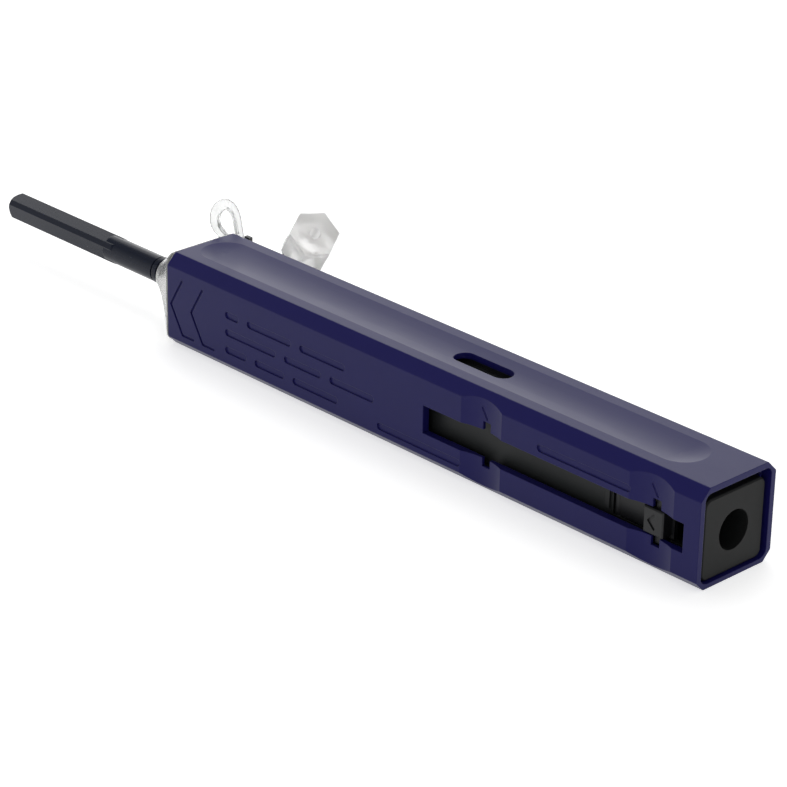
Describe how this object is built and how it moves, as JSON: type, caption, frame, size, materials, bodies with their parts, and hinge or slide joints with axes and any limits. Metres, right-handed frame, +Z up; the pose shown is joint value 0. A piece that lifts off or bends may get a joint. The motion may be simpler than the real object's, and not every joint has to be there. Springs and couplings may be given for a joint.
{
  "type": "fibre connector cleaning pen",
  "caption": "Push-to-clean pen for fibre connectors: a square blue sleeve with a sliding tape cartridge, a long dark nozzle, and a soft tether that carries its clear guide cap.",
  "frame": {"origin": "middle of the sleeve's underside, on which the pen rests", "axes": "+X towards the pen's rear end, along its length; -Y towards the slotted side; +Z up through the window"},
  "size_m": [0.2127, 0.0539, 0.0264],
  "materials": {
    "sleeve_blue": "satin moulded dark blue plastic",
    "front_black": "dark moulded plastic",
    "tether_clear": "soft milky translucent plastic",
    "cap_clear": "milky translucent plastic",
    "case_grey": "dark olive grey moulded plastic",
    "cover_grey": "dark grey fine-grained plastic",
    "steel": "plain bright steel",
    "tape_white": "fine white microfibre tape",
    "tape_used": "used microfibre tape",
    "latch_black": "black moulded plastic",
    "gear_white": "natural white engineering plastic",
    "tube_dark": "smooth dark plastic tube",
    "nozzle_dark": "dark blue-grey moulded plastic"
  },
  "bodies": {
    "sleeve": {"outer_sleeve": "sleeve_blue", "front_guide": "front_black", "tether_strap": "tether_clear", "guide_cap": "cap_clear"},
    "cartridge": {"case_near_half": "case_grey", "case_far_half": "case_grey", "rear_cover": "cover_grey", "supply_axle": "steel", "take_up_axle": "steel", "drive_axle": "steel", "pawl_pin": "steel", "latch_pin": "steel", "reel_brake": "steel", "tape_feed": "tape_white", "tape_return": "tape_used", "return_spring": "steel"},
    "latch": {"latch_arm": "latch_black", "release_button": "latch_black", "latch_spring": "steel"},
    "nozzle_slide": {"slide_carriage": "gear_white", "extension_tube": "tube_dark", "nozzle": "nozzle_dark", "spindle_bush": "gear_white", "nozzle_tape": "tape_white", "tip_spring": "steel"},
    "tip": {"tip_spindle": "gear_white"},
    "drive_pair": {"drive_gear": "gear_white", "clutch_gear": "gear_white"},
    "take_up": {"take_up_gear": "gear_white", "take_up_reel": "gear_white", "used_tape_roll": "tape_used", "ratchet_wheel": "gear_white"},
    "supply": {"supply_reel": "gear_white", "supply_tape_roll": "tape_white"},
    "pawl": {"ratchet_pawl": "gear_white"}
  },
  "joints": [
    {"name": "nozzle_extension", "type": "slide", "parent": "sleeve", "child": "cartridge", "axis": [-1, 0, 0], "range_m": [0, 0.0433]},
    {"name": "release_latch", "type": "hinge", "parent": "cartridge", "child": "latch", "pos_m": [0.0514, -0.0064, 0.00975], "axis": [0, 0, 1], "range_deg": [0, 8], "stiffness_Nm_per_rad": 0.05, "springref_deg": -5.73, "deforming": ["latch_spring"]},
    {"name": "nozzle_stroke", "type": "slide", "parent": "cartridge", "child": "nozzle_slide", "axis": [1, 0, 0], "range_m": [0, 0.007], "stiffness_N_per_m": 300, "springref_m": -0.005, "deforming": ["return_spring", "tape_feed", "tape_return"]},
    {"name": "tip_press", "type": "slide", "parent": "nozzle_slide", "child": "tip", "axis": [1, 0, 0], "range_m": [0, 0.0008], "stiffness_N_per_m": 800, "springref_m": -0.0005, "deforming": ["tip_spring"]},
    {"name": "drive_gear_turn", "type": "hinge", "parent": "cartridge", "child": "drive_pair", "pos_m": [0.0268, 0, 0.0073], "axis": [0, 1, 0], "range_deg": [-134, 0]},
    {"name": "take_up_turn", "type": "hinge", "parent": "cartridge", "child": "take_up", "pos_m": [0.03209, 0, 0.0109], "axis": [0, 1, 0], "range_deg": [0, 223]},
    {"name": "supply_turn", "type": "hinge", "parent": "cartridge", "child": "supply", "pos_m": [0.009, 0, 0.0109], "axis": [0, 1, 0], "range_deg": [-173, 0]},
    {"name": "pawl_swing", "type": "hinge", "parent": "cartridge", "child": "pawl", "pos_m": [0.03899, 0, 0.0079], "axis": [0, 1, 0], "range_deg": [0, 12], "stiffness_Nm_per_rad": 0.002, "springref_deg": -5.73}
  ],
  "couplings": [
    {"joint": "drive_gear_turn", "follows": "nozzle_stroke", "rad_per_m": -333.33},
    {"joint": "take_up_turn", "follows": "nozzle_stroke", "rad_per_m": 555.56},
    {"joint": "supply_turn", "follows": "nozzle_stroke", "rad_per_m": -430.1}
  ]
}
